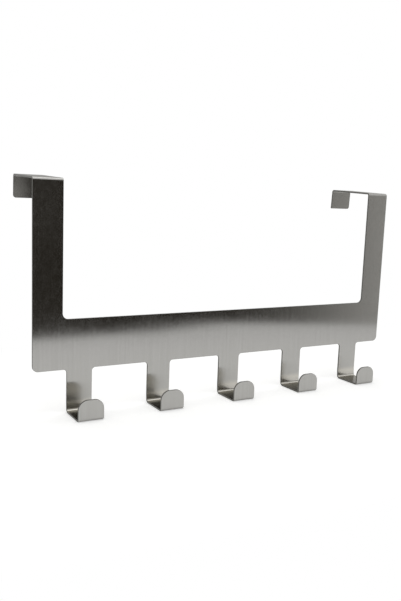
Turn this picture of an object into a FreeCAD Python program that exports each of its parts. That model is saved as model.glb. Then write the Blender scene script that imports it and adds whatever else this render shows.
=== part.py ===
# Over door hook rack, folded from one sheet of stainless steel, in millimetres.
# The origin is the middle of the door's top front edge: the door's front face is the plane Y = 0
# and its top is the plane Z = 0. X runs to the right seen from the front and Y into the door.
# The folds over the door have sprung open a little, so the straps rise towards the rear lips.
import FreeCAD, Part
import math
import os
import Sketcher

doc = FreeCAD.newDocument("over_door_hook")

# Driving sizes
SIZES = (
    ("sheet_thickness", 1.2, "stainless sheet, the same all over"),
    ("rack_width", 305.0, "over the outer edges of the two uprights"),
    ("upright_width", 20.5, "width of each upright and of the strap above it"),
    ("drop", 126.0, "door top down to the bar's bottom edge"),
    ("bar_height", 34.5, "height of the cross bar"),
    ("outer_corner_radius", 4.0, "bottom corners of the bar"),
    ("inner_corner_radius", 4.0, "corners between bar and uprights"),
    ("door_gap", 44.5, "door thickness that the straps reach over"),
    ("strap_tilt", 3.0, "degrees that the straps rise from level, towards the rear lips"),
    ("door_bend_radius", 0.8, "inner radius of the bends over the door"),
    ("rear_lip_height", 16.4, "strap's top face down to the end of the rear lip"),
    ("rear_corner_radius", 2.0, "outer bottom corner of each rear lip"),
    ("hook_count", 5, "hooks along the bar"),
    ("hook_pitch", 60.0, "from one hook's centre to the next"),
    ("hook_width", 18.0, "width of tab, floor and lip"),
    ("hook_drop", 30.0, "bar's bottom edge down to the underside of the hook's floor"),
    ("hook_reach", 23.4, "plate's front face out to the lip's front face"),
    ("floor_bend_radius", 1.2, "inner radius between tab and floor"),
    ("lip_bend_radius", 0.6, "inner radius between floor and lip"),
    ("lip_height", 14.5, "underside of the floor up to the lip's tip"),
    ("tip_radius", 6.7, "rounded corners of the lip's tip"),
    ("root_radius", 2.5, "fillets where a tab leaves the bar"),
)
sizes = doc.addObject("Spreadsheet::Sheet", "sizes")
for row, (alias, value, meaning) in enumerate(SIZES, start=1):
    sizes.set(f"A{row}", alias)
    sizes.set(f"B{row}", str(value))
    sizes.set(f"C{row}", meaning)
    sizes.setAlias(f"B{row}", alias)
doc.recompute()

# Places that several features share, as expressions on the sheet
OUTER_SIDE = "sizes.rack_width / 2"
INNER_SIDE = "sizes.rack_width / 2 - sizes.upright_width"
BAR_BOTTOM = "-sizes.drop"
BAR_TOP = "sizes.bar_height - sizes.drop"
UPRIGHT_TOP = "-sizes.door_bend_radius - sizes.sheet_thickness"
FRONT_FACE = "-sizes.sheet_thickness"
FLOOR_UNDERSIDE = "-sizes.drop - sizes.hook_drop"
FLOOR_TOP = "-sizes.drop - sizes.hook_drop + sizes.sheet_thickness"
LIP_FRONT = "-sizes.sheet_thickness - sizes.hook_reach"
LIP_BACK = "-sizes.hook_reach"
LIP_TIP = "-sizes.drop - sizes.hook_drop + sizes.lip_height"
FIRST_HOOK = "-sizes.hook_pitch * (sizes.hook_count - 1) / 2"
SHARP = None


def number(expression):
    """Present value of an expression on the sheet."""
    return float(sizes.evalExpression(expression))


def new_sketch(body, name, plane_role, offset=None):
    """Sketch on one of the body's own origin planes, moved along its normal by an expression."""
    plane = [p for p in body.Origin.OriginFeatures if p.Role == plane_role][0]
    sketch = body.newObject("Sketcher::SketchObject", name)
    sketch.AttachmentSupport = [(plane, "")]
    sketch.MapMode = "FlatFace"
    if offset:
        sketch.setExpression("AttachmentOffset.Base.z", offset)
    return sketch


def hold(sketch, constraint, name, expression):
    """Add a size to a sketch and bind it to its expression."""
    sketch.addConstraint(constraint)
    sketch.renameConstraint(sketch.ConstraintCount - 1, name)
    sketch.setExpression(f"Constraints.{name}", expression)


def draw_outline(sketch, corners):
    """Closed outline of straight lines. A corner is (across, up, bend radius or SHARP)."""
    places = [FreeCAD.Vector(number(across), number(up), 0) for across, up, radius in corners]
    radii = [number(radius) if radius else 0.0 for across, up, radius in corners]
    count = len(corners)
    ways = [(places[(i + 1) % count] - places[i]).normalize() for i in range(count)]
    # Distance from each corner to where its bend starts: the radius times the tangent of half the turn
    starts = [radii[i] * math.tan(ways[i - 1].getAngle(ways[i]) / 2) for i in range(count)]
    for i in range(count):
        j = (i + 1) % count
        line = Part.LineSegment(places[i] + ways[i] * starts[i], places[j] - ways[i] * starts[j])
        sketch.addGeometry(line, False)
    for i, (across, up, radius) in enumerate(corners):
        before = (i - 1) % count
        corner = sketch.addGeometry(Part.Point(places[i]), True)
        hold(sketch, Sketcher.Constraint("DistanceX", -1, 1, corner, 1, places[i].x), f"across_{i}", across)
        hold(sketch, Sketcher.Constraint("DistanceY", -1, 1, corner, 1, places[i].y), f"up_{i}", up)
        if radius is SHARP:
            sketch.addConstraint(Sketcher.Constraint("Coincident", before, 2, corner, 1))
            sketch.addConstraint(Sketcher.Constraint("Coincident", i, 1, corner, 1))
            continue
        sketch.addConstraint(Sketcher.Constraint("PointOnObject", corner, 1, before))
        sketch.addConstraint(Sketcher.Constraint("PointOnObject", corner, 1, i))
        enter = places[i] - ways[before] * starts[i]
        leave = places[i] + ways[i] * starts[i]
        inwards = (ways[i] - ways[before]).normalize()
        half_turn = ways[before].getAngle(ways[i]) / 2
        middle = places[i] + inwards * radii[i] * (1 / math.cos(half_turn) - 1)
        bend = sketch.addGeometry(Part.Arc(enter, middle, leave), False)
        left_turn = ways[before].cross(ways[i]).z > 0
        first, last = (1, 2) if left_turn else (2, 1)
        sketch.addConstraint(Sketcher.Constraint("Tangent", before, 2, bend, first))
        sketch.addConstraint(Sketcher.Constraint("Tangent", bend, last, i, 1))
        hold(sketch, Sketcher.Constraint("Radius", bend, radii[i]), f"bend_{i}", radius)


def pad(body, sketch, name, length, both_ways=False):
    """Extrude a sketch by a bound length."""
    feature = body.newObject("PartDesign::Pad", name)
    feature.Profile = sketch
    feature.SideType = "Symmetric" if both_ways else "One side"
    feature.setExpression("Length", length)
    feature.Refine = True
    doc.recompute()
    return feature


# How near, in mm, an edge's length and its middle come to what they are compared with
SAME_LENGTH = 0.001
SAME_PLACE = 0.05


def round_corners(body, name, radius, places):
    """Round the edges that cross the sheet at the given places, each (across, up) seen from the front."""
    base = body.Tip
    edges = []
    for index, edge in enumerate(base.Shape.Edges, start=1):
        middle = edge.CenterOfMass
        crosses = abs(edge.Length - number("sizes.sheet_thickness")) < SAME_LENGTH
        if crosses and any(abs(middle.x - x) + abs(middle.z - z) < SAME_PLACE for x, z in places):
            edges.append(f"Edge{index}")
    if len(edges) != len(places):
        raise RuntimeError(f"{name}: {len(edges)} edges found for {len(places)} corners")
    feature = body.newObject("PartDesign::Fillet", name)
    feature.Base = (base, edges)
    feature.setExpression("Radius", radius)
    body.Tip = feature
    doc.recompute()


body = doc.addObject("PartDesign::Body", "hook_rack")
body.Label = "hook_rack"
body.Placement = FreeCAD.Placement()

# Front plate: the bar with an upright at each end, flat against the door
plate = new_sketch(body, "plate_outline", "XZ_Plane")
draw_outline(plate, (
    (f"-({OUTER_SIDE})", BAR_BOTTOM, "sizes.outer_corner_radius"),
    (OUTER_SIDE, BAR_BOTTOM, "sizes.outer_corner_radius"),
    (OUTER_SIDE, UPRIGHT_TOP, SHARP),
    (INNER_SIDE, UPRIGHT_TOP, SHARP),
    (INNER_SIDE, BAR_TOP, "sizes.inner_corner_radius"),
    (f"-({INNER_SIDE})", BAR_TOP, "sizes.inner_corner_radius"),
    (f"-({INNER_SIDE})", UPRIGHT_TOP, SHARP),
    (f"-({OUTER_SIDE})", UPRIGHT_TOP, SHARP),
))
pad(body, plate, "front_plate", "sizes.sheet_thickness")


def on_strap(along, above):
    """Place measured along the tilted strap's underside from the door's edge, and square to it."""
    across = f"({along}) * cos(sizes.strap_tilt) - ({above}) * sin(sizes.strap_tilt)"
    up = f"({along}) * sin(sizes.strap_tilt) + ({above}) * cos(sizes.strap_tilt)"
    return across, up


# Straps: each upright folds back over the door and down behind it
strap = new_sketch(body, "strap_profile", "YZ_Plane", f"{OUTER_SIDE} - sizes.upright_width / 2")
OUTER_DOOR_BEND = "sizes.door_bend_radius + sizes.sheet_thickness"
REAR_OUTSIDE = "sizes.door_gap + sizes.sheet_thickness"
REAR_LIP_END = "sizes.sheet_thickness - sizes.rear_lip_height"
draw_outline(strap, (
    (FRONT_FACE, UPRIGHT_TOP, SHARP),
    ("0", UPRIGHT_TOP, SHARP),
    ("0", "0", "sizes.door_bend_radius"),
    (*on_strap("sizes.door_gap", "0"), "sizes.door_bend_radius"),
    (*on_strap("sizes.door_gap", REAR_LIP_END), SHARP),
    (*on_strap(REAR_OUTSIDE, REAR_LIP_END), SHARP),
    (*on_strap(REAR_OUTSIDE, "sizes.sheet_thickness"), OUTER_DOOR_BEND),
    (FRONT_FACE, "sizes.sheet_thickness * tan(45 - sizes.strap_tilt / 2)", OUTER_DOOR_BEND),
))
right_strap = pad(body, strap, "right_strap", "sizes.upright_width", both_ways=True)
both_straps = body.newObject("PartDesign::Mirrored", "both_straps")
both_straps.Originals = [right_strap]
both_straps.MirrorPlane = ([p for p in body.Origin.OriginFeatures if p.Role == "YZ_Plane"][0], [""])
both_straps.Refine = True
body.Tip = both_straps
doc.recompute()

# Hooks: a tab below the bar folds forward into a level floor and up into a lip
hook = new_sketch(body, "hook_profile", "YZ_Plane", FIRST_HOOK)
draw_outline(hook, (
    (FRONT_FACE, BAR_BOTTOM, SHARP),
    (FRONT_FACE, FLOOR_TOP, "sizes.floor_bend_radius"),
    (LIP_BACK, FLOOR_TOP, "sizes.lip_bend_radius"),
    (LIP_BACK, LIP_TIP, SHARP),
    (LIP_FRONT, LIP_TIP, SHARP),
    (LIP_FRONT, FLOOR_UNDERSIDE, "sizes.lip_bend_radius + sizes.sheet_thickness"),
    ("0", FLOOR_UNDERSIDE, "sizes.floor_bend_radius + sizes.sheet_thickness"),
    ("0", BAR_BOTTOM, SHARP),
))
first_hook = pad(body, hook, "first_hook", "sizes.hook_width", both_ways=True)
hooks = body.newObject("PartDesign::LinearPattern", "hooks")
hooks.Originals = [first_hook]
hooks.Direction = ([a for a in body.Origin.OriginFeatures if a.Role == "X_Axis"][0], [""])
hooks.setExpression("Occurrences", "sizes.hook_count")
hooks.setExpression("Length", "sizes.hook_pitch * (sizes.hook_count - 1)")
hooks.Refine = True
body.Tip = hooks
doc.recompute()

# Rounded corners, all cut through the sheet
side_places = []
for n in range(int(number("sizes.hook_count"))):
    centre = number(FIRST_HOOK) + n * number("sizes.hook_pitch")
    half_width = number("sizes.hook_width") / 2
    side_places += [centre - half_width, centre + half_width]
round_corners(body, "tab_roots", "sizes.root_radius", [(x, number(BAR_BOTTOM)) for x in side_places])
round_corners(body, "lip_tips", "sizes.tip_radius", [(x, number(LIP_TIP)) for x in side_places])
rear_end_height = number(on_strap(f"{REAR_OUTSIDE} - sizes.sheet_thickness / 2", REAR_LIP_END)[1])
round_corners(body, "rear_corners", "sizes.rear_corner_radius",
              [(side * number(OUTER_SIDE), rear_end_height) for side in (-1, 1)])

# Nothing is written unless every feature holds and the sheet is one sound solid
for item in doc.Objects:
    if "Invalid" in item.State or "Error" in item.State:
        raise RuntimeError(f"{item.Name} failed: {item.State}")
if body.Shape.isNull() or not body.Shape.isValid() or len(body.Shape.Solids) != 1:
    raise RuntimeError("hook_rack is not one valid solid")

os.makedirs("parts", exist_ok=True)
body.Shape.exportStep(f"parts/{body.Label}.step")
box = body.Shape.BoundBox
print(f"hook_rack {box.XLength:.1f} x {box.YLength:.1f} x {box.ZLength:.1f} mm,"
      f" {body.Shape.Volume:.0f} mm3, {len(body.Shape.Faces)} faces")
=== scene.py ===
# Over door hook rack: one folded sheet of brushed stainless steel, standing on its hooks in a plain
# pale studio. The scene is in metres: X to the right, Y into the door, Z up.
import math

import bmesh
import bpy
from mathutils import Matrix, Vector


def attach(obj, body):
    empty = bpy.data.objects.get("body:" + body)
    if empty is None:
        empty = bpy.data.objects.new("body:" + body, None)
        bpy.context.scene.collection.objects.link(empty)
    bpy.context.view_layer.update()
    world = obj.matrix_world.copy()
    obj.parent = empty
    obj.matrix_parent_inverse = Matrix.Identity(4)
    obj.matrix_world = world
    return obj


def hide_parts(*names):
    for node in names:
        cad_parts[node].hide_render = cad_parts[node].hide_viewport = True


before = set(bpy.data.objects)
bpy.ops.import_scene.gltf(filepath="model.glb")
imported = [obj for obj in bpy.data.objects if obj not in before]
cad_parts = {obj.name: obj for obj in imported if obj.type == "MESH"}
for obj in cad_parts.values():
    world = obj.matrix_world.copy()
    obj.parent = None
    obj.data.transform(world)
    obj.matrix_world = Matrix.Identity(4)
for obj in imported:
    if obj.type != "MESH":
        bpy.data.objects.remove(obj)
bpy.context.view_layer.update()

# Camera
# It stands off the rack's left end, just below the height of the straps, and looks a little down
# along the bar. Its place, turn and lens come from the straight edges of the sheet in the photograph.
CAMERA_PLACE = (-0.275296, -0.430514, -0.009531)
CAMERA_TURN = math.radians(30.041)  # from straight at the plate towards the right
CAMERA_FALL = math.radians(8.440)  # below level
CAMERA_ROLL = math.radians(2.150)
CAMERA_LENS = 40.651  # mm, on 36 mm along the picture's long side

camera = bpy.data.objects.new("camera", bpy.data.cameras.new("camera"))
camera.data.sensor_width = 36.0
camera.data.lens = CAMERA_LENS
camera.data.clip_start = 0.01
camera.matrix_world = (
    Matrix.Translation(CAMERA_PLACE)
    @ Matrix.Rotation(-CAMERA_TURN, 4, "Z")
    @ Matrix.Rotation(math.pi / 2 - CAMERA_FALL, 4, "X")
    @ Matrix.Rotation(CAMERA_ROLL, 4, "Z")
)
bpy.context.scene.collection.objects.link(camera)
bpy.context.scene.camera = camera
bpy.context.scene.view_settings.view_transform = "Standard"

# Flat blank
# The rack is cut in one piece from 1.2 mm stainless sheet: a bar, two uprights that run on into the
# straps, and five tabs below. Its corners are rounded, and its cut edges are eased in a tumbler.
# It is drawn in mm, across and along the sheet, with the back of the sheet at height 0.
MM_IN_METRE = 1000
THICKNESS = 1.2
WIDTH = 305.0
UPRIGHT_WIDTH = 20.5
BAR_BOTTOM = -126.0
BAR_TOP = -91.5
HOOK_PITCH = 60.0
HOOK_WIDTH = 18.0
HOOK_COUNT = 5
OUTER_CORNER = 4.0
INNER_CORNER = 4.0
TAB_ROOT = 2.5
LIP_TIP_CORNER = 6.7
REAR_CORNER = 2.0
SNIPPED_CORNER = 0.4
EDGE_EASING = 0.2
CORNER_STEPS = 12
EASING_STEPS = 3

# Folds
# A press brake bends each upright back over the door and down behind it, and each tab forward
# and up. A run is (length, turn, painted light, dulled), followed along the middle of the sheet from
# the plate: how far light is painted onto its front, which paints the hooks' throats lighter, and
# how far its front is dulled, where the run ends.
HALF_SHEET = THICKNESS / 2
DOOR_GAP = 44.5
DOOR_BEND = 0.8  # inner radius, as are the next two bends
STRAP_RISE = math.radians(3.0)  # the straps have sprung up a little from level
REAR_LIP = 15.2  # below the strap's underside
HOOK_UNDERSIDE = -156.0
HOOK_REACH = 23.4
TAB_FOOT = 7.0  # lowest part of the tab, down to the floor bend
TAB_EASE = math.radians(5.0)  # the tab's foot starts to turn before the floor bend does
FLOOR_BEND = 1.7
FLOOR_REAR = 1.5  # strip of the floor next to its bend, where the painted light starts to fade
LIP_BEND = 0.6
LIP_HEIGHT = 14.5
BEND_STEPS = 12
SAME_LINE = 0.0005  # a point this near to a line that divides the blank counts as on it

door_turn = math.pi / 2 - STRAP_RISE
door_setback = DOOR_BEND * math.tan(door_turn / 2)
strap_runs = (
    ((DOOR_BEND + HALF_SHEET) * door_turn, -door_turn, 0.0, 0.8),
    (DOOR_GAP - DOOR_BEND - door_setback, 0.0, 0.0, 1.0),
    ((DOOR_BEND + HALF_SHEET) * math.pi / 2, -math.pi / 2, 0.0, 0.0),
    (REAR_LIP - DOOR_BEND, 0.0, 0.0, 0.0),
)


def reach_and_drop(runs):
    """How far forward and how far down the runs go, from a start that hangs straight down."""
    reach, drop, slope = 0.0, 0.0, 0.0
    for length, turn, *_ in runs:
        chord = 2 * length / abs(turn) * math.sin(abs(turn) / 2) if turn else length
        reach += chord * math.sin(slope - turn / 2)
        drop += chord * math.cos(slope - turn / 2)
        slope -= turn
    return reach, drop


floor_turn = math.pi / 2 - TAB_EASE
# The third value of each run is painted light: a lighter tone painted into the hooks' throats
rear_runs = (
    (TAB_FOOT / 2, -TAB_EASE / 2, 0.5, 0.0),
    (TAB_FOOT / 2, -TAB_EASE / 2, 0.3, 0.0),
    ((FLOOR_BEND + HALF_SHEET) * floor_turn, -floor_turn, 0.8, 0.4),
    (FLOOR_REAR, 0.0, 0.5, 0.0),
)
rear_reach, rear_drop = reach_and_drop(rear_runs)
hook_runs = (
    *rear_runs,
    (HOOK_REACH - rear_reach - LIP_BEND - HALF_SHEET, 0.0, 0.0, 0.0),
    ((LIP_BEND + HALF_SHEET) * math.pi / 2, -math.pi / 2, 1.0, 0.4),
    (LIP_HEIGHT - THICKNESS - LIP_BEND, 0.0, 1.0, 0.6),
)
strap_start = -door_setback
hook_start = HOOK_UNDERSIDE + HALF_SHEET + rear_drop
strap_end = strap_start + sum(run[0] for run in strap_runs)
hook_end = hook_start - sum(run[0] for run in hook_runs)


def blank_corners():
    """Corners of the flat blank, (across, along, radius), from bottom left towards the right."""
    outer, inner = WIDTH / 2, WIDTH / 2 - UPRIGHT_WIDTH
    corners = [(-outer, BAR_BOTTOM, OUTER_CORNER)]
    for number in range(HOOK_COUNT):
        centre = (number - (HOOK_COUNT - 1) / 2) * HOOK_PITCH
        left, right = centre - HOOK_WIDTH / 2, centre + HOOK_WIDTH / 2
        corners += [(left, BAR_BOTTOM, TAB_ROOT), (left, hook_end, LIP_TIP_CORNER)]
        corners += [(right, hook_end, LIP_TIP_CORNER), (right, BAR_BOTTOM, TAB_ROOT)]
    corners += [(outer, BAR_BOTTOM, OUTER_CORNER), (outer, strap_end, REAR_CORNER)]
    corners += [(inner, strap_end, SNIPPED_CORNER), (inner, BAR_TOP, INNER_CORNER)]
    corners += [(-inner, BAR_TOP, INNER_CORNER), (-inner, strap_end, SNIPPED_CORNER)]
    return corners + [(-outer, strap_end, REAR_CORNER)]


def blank_outline(inset):
    """The blank's outline moved inwards: (place, outward direction) for each point, anticlockwise."""
    corners = [(Vector((across, along)), radius) for across, along, radius in blank_corners()]
    count = len(corners)
    ways = [(corners[(i + 1) % count][0] - corners[i][0]).normalized() for i in range(count)]
    outline = []
    for i, (corner, radius) in enumerate(corners):
        enter, leave = ways[i - 1], ways[i]
        hollow = enter.cross(leave) < 0
        inwards = Vector((-enter.y - leave.y, enter.x + leave.x))
        corner = corner + inwards * inset
        radius = radius + inset if hollow else radius - inset
        centre = corner + (leave - enter) * radius
        for step in range(CORNER_STEPS + 1):
            angle = math.pi / 2 * step / CORNER_STEPS
            spoke = enter * math.sin(angle) - leave * math.cos(angle)
            outline.append((centre + spoke * radius, -spoke if hollow else spoke))
    return outline


def cut_blank(sheet, facing):
    """Flat blank with eased edges. Each point keeps in facing which way the surface looks there."""
    rings = []
    quarter = [math.pi / 2 * step / EASING_STEPS for step in range(EASING_STEPS + 1)]
    profile = [(angle, 1) for angle in quarter] + [(angle, -1) for angle in reversed(quarter)]
    for angle, side in profile:
        inset = EDGE_EASING * (1 - math.sin(angle))
        height = HALF_SHEET + side * (HALF_SHEET - EDGE_EASING * (1 - math.cos(angle)))
        ring = []
        for place, outwards in blank_outline(inset):
            point = sheet.verts.new((place.x, place.y, height))
            flat_way = outwards * math.sin(angle)
            point[facing] = (flat_way.x, flat_way.y, side * math.cos(angle))
            ring.append(point)
        rings.append(ring)
    sheet.faces.new(rings[0])
    sheet.faces.new(list(reversed(rings[-1])))
    for front, back in zip(rings, rings[1:]):
        for i in range(len(front)):
            j = (i + 1) % len(front)
            cut_side = sheet.faces.new((front[i], back[i], back[j], front[j]))
            cut_side.material_index = 1


def fold_lines():
    """Places along the blank where the sheet is divided, so that it can bend there."""
    lines = []
    for start, sense, runs in ((strap_start, 1, strap_runs), (hook_start, -1, hook_runs)):
        for length, turn, *_ in runs:
            steps = BEND_STEPS if turn else 1
            lines += [start + sense * length * step / steps for step in range(steps + 1)]
            start += sense * length
    return lines


def painted_light_and_dulling(place):
    """How far light is painted onto the front of a point of the blank, in the hooks' throats, and how far it
    is dulled; both change evenly along each run.
    """
    blended = Vector((0.0, 0.0))
    if place.z > HALF_SHEET:
        for start, sense, runs in ((strap_start, 1, strap_runs), (hook_start, -1, hook_runs)):
            rest = (place.y - start) * sense
            for length, _, *light_and_dulling in runs:
                if rest > 0:
                    blended = blended.lerp(Vector(light_and_dulling), min(rest / length, 1.0))
                rest -= length
    return blended


def folded(place, way):
    """Where a point of the blank is in the folded rack, in mm, and which way it looks there."""
    across, along, height = place
    middle, heading, sense = Vector((-HALF_SHEET, along)), math.pi / 2, 1
    if along > strap_start:
        middle.y, runs, rest = strap_start, strap_runs, along - strap_start
    elif along < hook_start:
        middle.y, runs, rest = hook_start, hook_runs, hook_start - along
        heading, sense = -heading, -1
    else:
        runs, rest = (), 0.0
    for length, turn, *_ in runs:
        part = min(rest, length)
        bent = turn * part / length
        chord = 2 * length / abs(turn) * math.sin(abs(bent) / 2) if turn else part
        middle += Vector((math.cos(heading + bent / 2), math.sin(heading + bent / 2))) * chord
        heading += bent
        rest -= part
    onwards = Vector((math.cos(heading), math.sin(heading))) * sense
    frontwards = Vector((-onwards.y, onwards.x))
    middle += frontwards * (height - HALF_SHEET)
    turned = onwards * way[1] + frontwards * way[2]
    return Vector((across, middle.x, middle.y)), Vector((way[0], turned.x, turned.y)).normalized()


def make_rack():
    """The folded sheet. A map keeps every point's place on the flat blank, layers its painted light and
    dulling.
    """
    sheet = bmesh.new()
    facing = sheet.verts.layers.float_vector.new("facing")
    # The first layer holds painted light, a lighter tone painted into the hooks' throats; the second, dulling
    light_and_dull_layers = sheet.verts.layers.float.new("painted_light"), sheet.verts.layers.float.new("dulled")
    blank_map = sheet.loops.layers.uv.new("blank")
    cut_blank(sheet, facing)
    # The blank is also divided at the heights where the bar's rounded corners begin or end
    corner_lines = [BAR_BOTTOM - TAB_ROOT, BAR_BOTTOM + OUTER_CORNER, BAR_TOP, BAR_TOP + INNER_CORNER]
    for along in fold_lines() + corner_lines:
        whole = sheet.verts[:] + sheet.edges[:] + sheet.faces[:]
        bmesh.ops.bisect_plane(
            sheet, geom=whole, dist=SAME_LINE, plane_co=(0, along, 0), plane_no=(0, 1, 0)
        )
    for face in sheet.faces:
        face.smooth = True
        for corner in face.loops:
            corner[blank_map].uv = (corner.vert.co.x / WIDTH + 0.5, corner.vert.co.y / WIDTH + 0.5)
    looks = []
    for point in sheet.verts:
        for layer, share in zip(light_and_dull_layers, painted_light_and_dulling(point.co)):
            point[layer] = share
        place, look = folded(point.co, point[facing])
        point.co = place / MM_IN_METRE
        looks.append(look)
    sheet.verts.layers.float_vector.remove(facing)
    mesh = bpy.data.meshes.new("folded_sheet")
    sheet.to_mesh(mesh)
    sheet.free()
    mesh.normals_split_custom_set_from_vertices(looks)
    rack = bpy.data.objects.new("folded_sheet", mesh)
    bpy.context.scene.collection.objects.link(rack)
    return rack


# Brushed finish
# The sheet was belt-brushed up and down before it was cut: fine lines in the grain's direction,
# which blur what the steel mirrors sideways and hardly at all along the grain.
STEEL_DARK = (0.364, 0.358, 0.342, 1)
STEEL_LIGHT = (0.419, 0.414, 0.400, 1)
# Painted light: a lighter tone painted into the hooks' throats
STEEL_PAINTED_LIGHT = (0.62, 0.59, 0.52, 1)
EDGE_DARK = (0.09, 0.088, 0.08, 1)
EDGE_LIGHT = (0.14, 0.137, 0.125, 1)
GROOVE_DEPTH = 0.000004
SPECK_RIM = 0.32  # how far from its middle a speck reaches, as a share of its cell's size
SPECK_HEART = 0.12  # and how far it is full


def socket(group, name, way, kind="NodeSocketFloat", value=None):
    """Named input or output of a node group."""
    made = group.interface.new_socket(name=name, in_out=way, socket_type=kind)
    if value is not None:
        made.default_value = value


def brush_lines():
    """Node group: lines drawn along the blank by the brushing belt, as a value from 0 to 1."""
    group = bpy.data.node_groups.new("brush_lines", "ShaderNodeTree")
    socket(group, "Blank Place", "INPUT", "NodeSocketVector")
    socket(group, "Lines Across", "INPUT", value=300.0)
    socket(group, "Lines Along", "INPUT", value=6.0)
    socket(group, "Shift", "INPUT", value=0.0)
    socket(group, "Lines", "OUTPUT")
    nodes, links = group.nodes, group.links
    given, out = nodes.new("NodeGroupInput"), nodes.new("NodeGroupOutput")
    scale = nodes.new("ShaderNodeCombineXYZ")
    links.new(given.outputs["Lines Across"], scale.inputs["X"])
    links.new(given.outputs["Lines Along"], scale.inputs["Y"])
    stretched = nodes.new("ShaderNodeVectorMath")
    stretched.operation = "MULTIPLY"
    links.new(given.outputs["Blank Place"], stretched.inputs[0])
    links.new(scale.outputs["Vector"], stretched.inputs[1])
    noise = nodes.new("ShaderNodeTexNoise")
    noise.noise_dimensions = "4D"
    noise.inputs["Scale"].default_value = 1.0
    noise.inputs["Detail"].default_value = 3.0
    noise.inputs["Roughness"].default_value = 0.55
    links.new(stretched.outputs["Vector"], noise.inputs["Vector"])
    links.new(given.outputs["Shift"], noise.inputs["W"])
    links.new(noise.outputs["Fac"], out.inputs["Lines"])
    return group


def specks():
    """Node group: sparse small specks of dust and pits, 1 in a speck and 0 between them."""
    group = bpy.data.node_groups.new("specks", "ShaderNodeTree")
    socket(group, "Blank Place", "INPUT", "NodeSocketVector")
    socket(group, "Specks Across", "INPUT", value=200.0)
    socket(group, "Share", "INPUT", value=0.2)
    socket(group, "Specks", "OUTPUT")
    nodes, links = group.nodes, group.links
    given, out = nodes.new("NodeGroupInput"), nodes.new("NodeGroupOutput")
    cells = nodes.new("ShaderNodeTexVoronoi")
    links.new(given.outputs["Blank Place"], cells.inputs["Vector"])
    links.new(given.outputs["Specks Across"], cells.inputs["Scale"])
    dot = nodes.new("ShaderNodeMapRange")
    dot.interpolation_type = "SMOOTHSTEP"
    dot.inputs["From Min"].default_value = SPECK_RIM
    dot.inputs["From Max"].default_value = SPECK_HEART
    links.new(cells.outputs["Distance"], dot.inputs["Value"])
    chosen = nodes.new("ShaderNodeSeparateColor")
    links.new(cells.outputs["Color"], chosen.inputs["Color"])
    kept = nodes.new("ShaderNodeMath")
    kept.operation = "LESS_THAN"
    links.new(chosen.outputs["Red"], kept.inputs[0])
    links.new(given.outputs["Share"], kept.inputs[1])
    both = nodes.new("ShaderNodeMath")
    both.operation = "MULTIPLY"
    links.new(dot.outputs["Result"], both.inputs[0])
    links.new(kept.outputs["Value"], both.inputs[1])
    links.new(both.outputs["Value"], out.inputs["Specks"])
    return group


BRUSH_LINES, SPECKS = brush_lines(), specks()


def new_material(name):
    """Material with its nodes, its links and its one shader."""
    material = bpy.data.materials.new(name)
    material.use_nodes = True
    nodes, links = material.node_tree.nodes, material.node_tree.links
    return material, nodes, links, nodes["Principled BSDF"]


def blank_place(nodes):
    """Node that gives a point's place on the flat blank."""
    place = nodes.new("ShaderNodeUVMap")
    place.uv_map = "blank"
    return place.outputs["UV"]


def grouped(nodes, links, group, **inputs):
    """One placing of a node group, with its own values."""
    placed = nodes.new("ShaderNodeGroup")
    placed.node_tree = group
    links.new(blank_place(nodes), placed.inputs["Blank Place"])
    for name, value in inputs.items():
        placed.inputs[name.replace("_", " ").title()].default_value = value
    return placed.outputs[0]


def mapped(nodes, links, value, low, high, start=0.0, end=1.0):
    """Value from low to high, as the given one goes from start to end."""
    spread = nodes.new("ShaderNodeMapRange")
    links.new(value, spread.inputs["Value"])
    for name, number in (("From Min", start), ("From Max", end), ("To Min", low), ("To Max", high)):
        spread.inputs[name].default_value = number
    return spread.outputs["Result"]


def combined(nodes, links, operation, first, second):
    """Sum or product of two values, or the larger of them."""
    result = nodes.new("ShaderNodeMath")
    result.operation = operation
    links.new(first, result.inputs[0])
    links.new(second, result.inputs[1])
    return result.outputs["Value"]


def kept_layer(nodes, kind):
    """Value from 0 to 1 that make_rack keeps on the sheet's points: painted light in the throats, or dulling.
    """
    kept = nodes.new("ShaderNodeAttribute")
    kept.attribute_name = kind
    return kept.outputs["Fac"]


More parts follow.
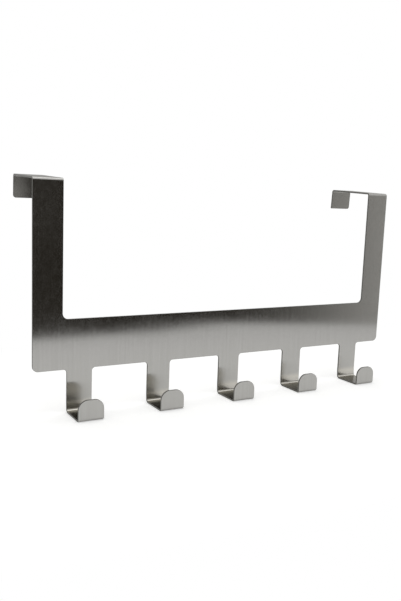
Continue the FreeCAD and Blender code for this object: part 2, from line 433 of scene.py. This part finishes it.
def brushed_steel():
    """Satin brushed face of the sheet."""
    material, nodes, links, steel = new_material("brushed_steel")
    steel.inputs["Metallic"].default_value = 1.0
    steel.inputs["Anisotropic"].default_value = 0.9
    steel.inputs["Specular Tint"].default_value = (0.45, 0.45, 0.44, 1)
    across_grain = nodes.new("ShaderNodeTangent")
    across_grain.direction_type = "UV_MAP"
    across_grain.uv_map = "blank"
    links.new(across_grain.outputs["Tangent"], steel.inputs["Tangent"])
    broad = grouped(nodes, links, BRUSH_LINES, lines_across=260.0, lines_along=5.0)
    fine = grouped(nodes, links, BRUSH_LINES, lines_across=1100.0, lines_along=16.0, shift=3.0)
    cloud = grouped(nodes, links, BRUSH_LINES, lines_across=9.0, lines_along=6.0, shift=7.0)
    mottle = grouped(nodes, links, BRUSH_LINES, lines_across=110.0, lines_along=70.0, shift=5.0)
    dust = grouped(nodes, links, SPECKS, specks_across=260.0, share=0.10)
    lines = combined(nodes, links, "ADD", broad, fine)
    tone = nodes.new("ShaderNodeMix")
    tone.data_type = "RGBA"
    tone.inputs["A"].default_value = STEEL_DARK
    tone.inputs["B"].default_value = STEEL_LIGHT
    links.new(mapped(nodes, links, lines, low=0.0, high=1.0, start=0.6, end=1.4), tone.inputs["Factor"])
    # Painted light: the hooks' throats are painted a lighter tone
    painted_light_mix = nodes.new("ShaderNodeMix")
    painted_light_mix.data_type = "RGBA"
    painted_light_mix.inputs["B"].default_value = STEEL_PAINTED_LIGHT
    links.new(kept_layer(nodes, "painted_light"), painted_light_mix.inputs["Factor"])
    links.new(tone.outputs["Result"], painted_light_mix.inputs["A"])
    links.new(painted_light_mix.outputs["Result"], steel.inputs["Base Color"])
    # The steel's roughness is the sum of these five shares
    lined = mapped(nodes, links, broad, low=0.15, high=0.17, start=0.3, end=0.7)
    clouded = mapped(nodes, links, cloud, low=-0.01, high=0.02, start=0.3, end=0.7)
    dusty = mapped(nodes, links, dust, low=0.0, high=0.05)
    mottled = mapped(nodes, links, mottle, low=0.0, high=0.04, start=0.45, end=0.75)
    dulled = mapped(nodes, links, kept_layer(nodes, "dulled"), low=0.0, high=0.30)
    satin = combined(nodes, links, "ADD", lined, clouded)
    blended = combined(nodes, links, "ADD", dusty, mottled)
    matt = combined(nodes, links, "ADD", blended, dulled)
    links.new(combined(nodes, links, "ADD", satin, matt), steel.inputs["Roughness"])
    grooves = nodes.new("ShaderNodeBump")
    grooves.inputs["Strength"].default_value = 0.35
    grooves.inputs["Distance"].default_value = GROOVE_DEPTH
    links.new(fine, grooves.inputs["Height"])
    links.new(grooves.outputs["Normal"], steel.inputs["Normal"])
    return material


def sheared_edge():
    """Cut side of the sheet: duller and darker than the face, with the marks of the cut."""
    material, nodes, links, steel = new_material("sheared_edge")
    steel.inputs["Metallic"].default_value = 1.0
    marks = grouped(nodes, links, BRUSH_LINES, lines_across=900.0, lines_along=900.0, shift=11.0)
    tone = nodes.new("ShaderNodeMix")
    tone.data_type = "RGBA"
    tone.inputs["A"].default_value = EDGE_DARK
    tone.inputs["B"].default_value = EDGE_LIGHT
    links.new(mapped(nodes, links, marks, low=0.0, high=1.0, start=0.3, end=0.7), tone.inputs["Factor"])
    links.new(tone.outputs["Result"], steel.inputs["Base Color"])
    roughness = mapped(nodes, links, marks, low=0.36, high=0.48, start=0.3, end=0.7)
    links.new(roughness, steel.inputs["Roughness"])
    return material


rack = make_rack()
rack.data.materials.append(brushed_steel())
rack.data.materials.append(sheared_edge())
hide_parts("hook_rack")
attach(rack, "root")

# Paper floor
# The rack stands on a sheet of white paper, which isn't part of it. The paper ends about 25 cm in
# front of the plate, in a blunt corner towards the right, and the steel mirrors that edge.
PAPER_FRONT = ((-3.0, -0.240), (0.06, -0.241), (0.145, -0.265), (0.32, -0.193), (0.95, 0.06), (3.0, 0.06))
PAPER_REAR = 4.0
PAPER_GAP = 0.0001  # between the hooks' undersides and the paper
PAPER_LEVEL = HOOK_UNDERSIDE / MM_IN_METRE - PAPER_GAP
PAPER_TONE = (0.85, 0.85, 0.84, 1)
PAPER_LIFT = 0.30  # glow that the camera and the steel see in the paper, on top of its own light
SHADOW_SPAN = (0.35, 1.0, 0.0)  # the shadow's shape: wide along the rack and narrow away from it
SHADOW_FADE = 0.05  # distance from the origin, in that shape, at which white begins to cover it
SHADOW_END = 0.2  # and at which it is covered


def flat_card(name, corners, material):
    """Flat paper or card that isn't part of the object."""
    mesh = bpy.data.meshes.new(name)
    mesh.from_pydata(corners, [], [tuple(range(len(corners)))])
    mesh.materials.append(material)
    card = bpy.data.objects.new(name, mesh)
    bpy.context.scene.collection.objects.link(card)
    return card


def seen_directly(nodes, links):
    """1 for what the camera sees, also in steel or through glass, and 0 for scattered light."""
    path = nodes.new("ShaderNodeLightPath")
    seen = combined(nodes, links, "MAXIMUM", path.outputs["Is Camera Ray"], path.outputs["Is Glossy Ray"])
    return combined(nodes, links, "MAXIMUM", seen, path.outputs["Is Transmission Ray"])


def paper():
    """Pale paper that keeps the rack's shadow near it and is plain white further off."""
    material, nodes, links, sheet = new_material("paper")
    sheet.inputs["Base Color"].default_value = PAPER_TONE
    sheet.inputs["Roughness"].default_value = 1.0
    sheet.inputs["Specular IOR Level"].default_value = 0.0
    seen = seen_directly(nodes, links)
    lift = nodes.new("ShaderNodeEmission")
    links.new(mapped(nodes, links, seen, low=0.0, high=PAPER_LIFT), lift.inputs["Strength"])
    near = nodes.new("ShaderNodeAddShader")
    links.new(sheet.outputs["BSDF"], near.inputs[0])
    links.new(lift.outputs["Emission"], near.inputs[1])
    place = nodes.new("ShaderNodeNewGeometry")
    across = nodes.new("ShaderNodeVectorMath")
    across.operation = "MULTIPLY"
    across.inputs[1].default_value = SHADOW_SPAN
    links.new(place.outputs["Position"], across.inputs[0])
    away = nodes.new("ShaderNodeVectorMath")
    away.operation = "LENGTH"
    links.new(across.outputs["Vector"], away.inputs[0])
    share = mapped(
        nodes, links, away.outputs["Value"], low=0.0, high=1.0, start=SHADOW_FADE, end=SHADOW_END
    )
    far = combined(nodes, links, "MULTIPLY", share, seen)
    white = nodes.new("ShaderNodeEmission")
    fade = nodes.new("ShaderNodeMixShader")
    links.new(far, fade.inputs["Fac"])
    links.new(near.outputs["Shader"], fade.inputs[1])
    links.new(white.outputs["Emission"], fade.inputs[2])
    links.new(fade.outputs["Shader"], nodes["Material Output"].inputs["Surface"])
    return material


paper_ends = (PAPER_FRONT[-1][0], PAPER_REAR), (PAPER_FRONT[0][0], PAPER_REAR)
flat_card("paper_floor", [(*corner, PAPER_LEVEL) for corner in PAPER_FRONT + paper_ends], paper())

# Dark card
# Beyond the paper's front edge stands a dark card, which isn't part of the rack either. It is lighter
# towards both ends and cut lower on its right. The steel mirrors it, and the camera doesn't see it.
CARD_LEFT = -0.7
CARD_RIGHT = 2.3
CARD_FOOT = -0.6
CARD_DISTANCE = -0.9
CARD_TALL = 0.43
CARD_LOW = 0.12
CARD_TOP = ((CARD_RIGHT, CARD_LOW), (0.92, CARD_LOW), (0.55, CARD_TALL), (CARD_LEFT, CARD_TALL))
CARD_DARK = (0.026, 0.021, 0.015)
# Places across the card, each with the tone that the card has there
CARD_TONES = ((-0.65, (0.95, 0.94, 0.91)), (-0.25, (0.30, 0.295, 0.28)), (0.02, CARD_DARK), (0.70, CARD_DARK),
              (0.96, (0.47, 0.465, 0.45)), (1.10, (0.76, 0.75, 0.73)))


def dark_card_stock(stops):
    """Card whose tone goes from stop to stop. A stop is (share of the way across, tone)."""
    material, nodes, links, card = new_material("dark_card")
    card.inputs["Roughness"].default_value = 1.0
    card.inputs["Specular IOR Level"].default_value = 0.0
    card.inputs["Base Color"].default_value = (0, 0, 0, 1)
    place = nodes.new("ShaderNodeTexCoord")
    split = nodes.new("ShaderNodeSeparateXYZ")
    links.new(place.outputs["Generated"], split.inputs["Vector"])
    tone = nodes.new("ShaderNodeValToRGB")
    tone.color_ramp.interpolation = "EASE"
    while len(tone.color_ramp.elements) < len(stops):
        tone.color_ramp.elements.new(0.5)  # anywhere, because each is moved to its own place below
    for stop, (share, colour) in zip(tone.color_ramp.elements, stops):
        stop.position = share
        stop.color = (*colour, 1)
    links.new(split.outputs["X"], tone.inputs["Fac"])
    links.new(tone.outputs["Color"], card.inputs["Emission Color"])
    card.inputs["Emission Strength"].default_value = 1.0
    return material


card_corners = ((CARD_LEFT, CARD_FOOT), (CARD_RIGHT, CARD_FOOT), *CARD_TOP)
card_stops = [((across - CARD_LEFT) / (CARD_RIGHT - CARD_LEFT), colour) for across, colour in CARD_TONES]
dark_card = flat_card(
    "dark_card", [(across, CARD_DISTANCE, up) for across, up in card_corners], dark_card_stock(card_stops)
)
dark_card.visible_camera = False
dark_card.visible_diffuse = False

# Light
# A white studio room gives plain light from all round, and a wide soft lamp hangs overhead. The room
# is plain white where it is seen, also in the steel, and weaker where it lights the paper.
ROOM_LIGHT = 0.75  # strength on the paper, where the room that is seen has 1

world = bpy.data.worlds.new("studio")
world.use_nodes = True
bpy.context.scene.world = world
room = world.node_tree.nodes["Background"]
room.inputs["Color"].default_value = (1, 1, 1, 1)
direct = seen_directly(world.node_tree.nodes, world.node_tree.links)
strength = mapped(world.node_tree.nodes, world.node_tree.links, direct, low=ROOM_LIGHT, high=1.0)
world.node_tree.links.new(strength, room.inputs["Strength"])

lamp = bpy.data.objects.new("overhead_lamp", bpy.data.lights.new("overhead_lamp", "AREA"))
lamp.data.shape = "RECTANGLE"
lamp.data.size = 1.2
lamp.data.size_y = 1.0
lamp.data.energy = 4.9
lamp.location = (0.1, 0.1, 1.3)
bpy.context.scene.collection.objects.link(lamp)
